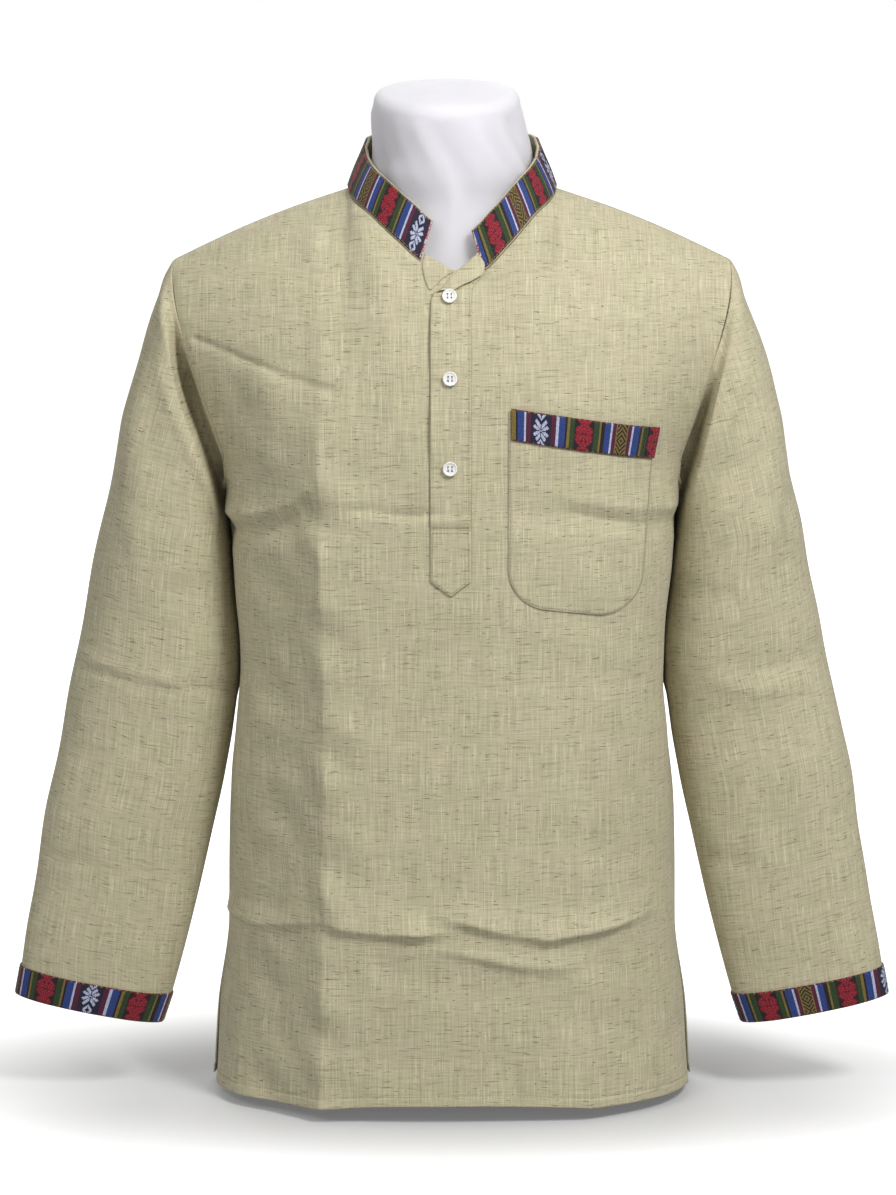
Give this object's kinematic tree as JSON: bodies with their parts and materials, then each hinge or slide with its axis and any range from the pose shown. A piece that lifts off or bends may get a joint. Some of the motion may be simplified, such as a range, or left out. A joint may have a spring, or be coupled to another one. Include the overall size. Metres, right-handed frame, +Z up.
{
  "type": "short kurta on a limbless dress form",
  "caption": "Long-sleeved short kurta with a stand collar, half placket, chest pocket and woven trims, worn by a limbless torso dress form that stands on its flat base.",
  "frame": {"origin": "middle of the dress form's flat base", "axes": "+Z up, from the hem to the neck; the front faces -Y; the garment's left is at +X"},
  "size_m": [0.6798, 0.2449, 0.7792],
  "materials": {
    "slub_cloth": "matt slub weave",
    "woven_trim": "woven stripes",
    "button_plastic": "pearly white",
    "form_jersey": "white jersey"
  },
  "bodies": {
    "root": {"form": "form_jersey", "front_panel": "slub_cloth", "back_panel": "slub_cloth", "sleeve_left": "slub_cloth", "sleeve_right": "slub_cloth", "collar": "slub_cloth", "placket": "slub_cloth", "under_placket": "slub_cloth", "pocket": "slub_cloth", "collar_trim": "woven_trim", "pocket_trim": "woven_trim", "cuff_trim_left": "woven_trim", "cuff_trim_right": "woven_trim", "button_top": "button_plastic", "button_middle": "button_plastic", "button_low": "button_plastic"}
  },
  "joints": []
}
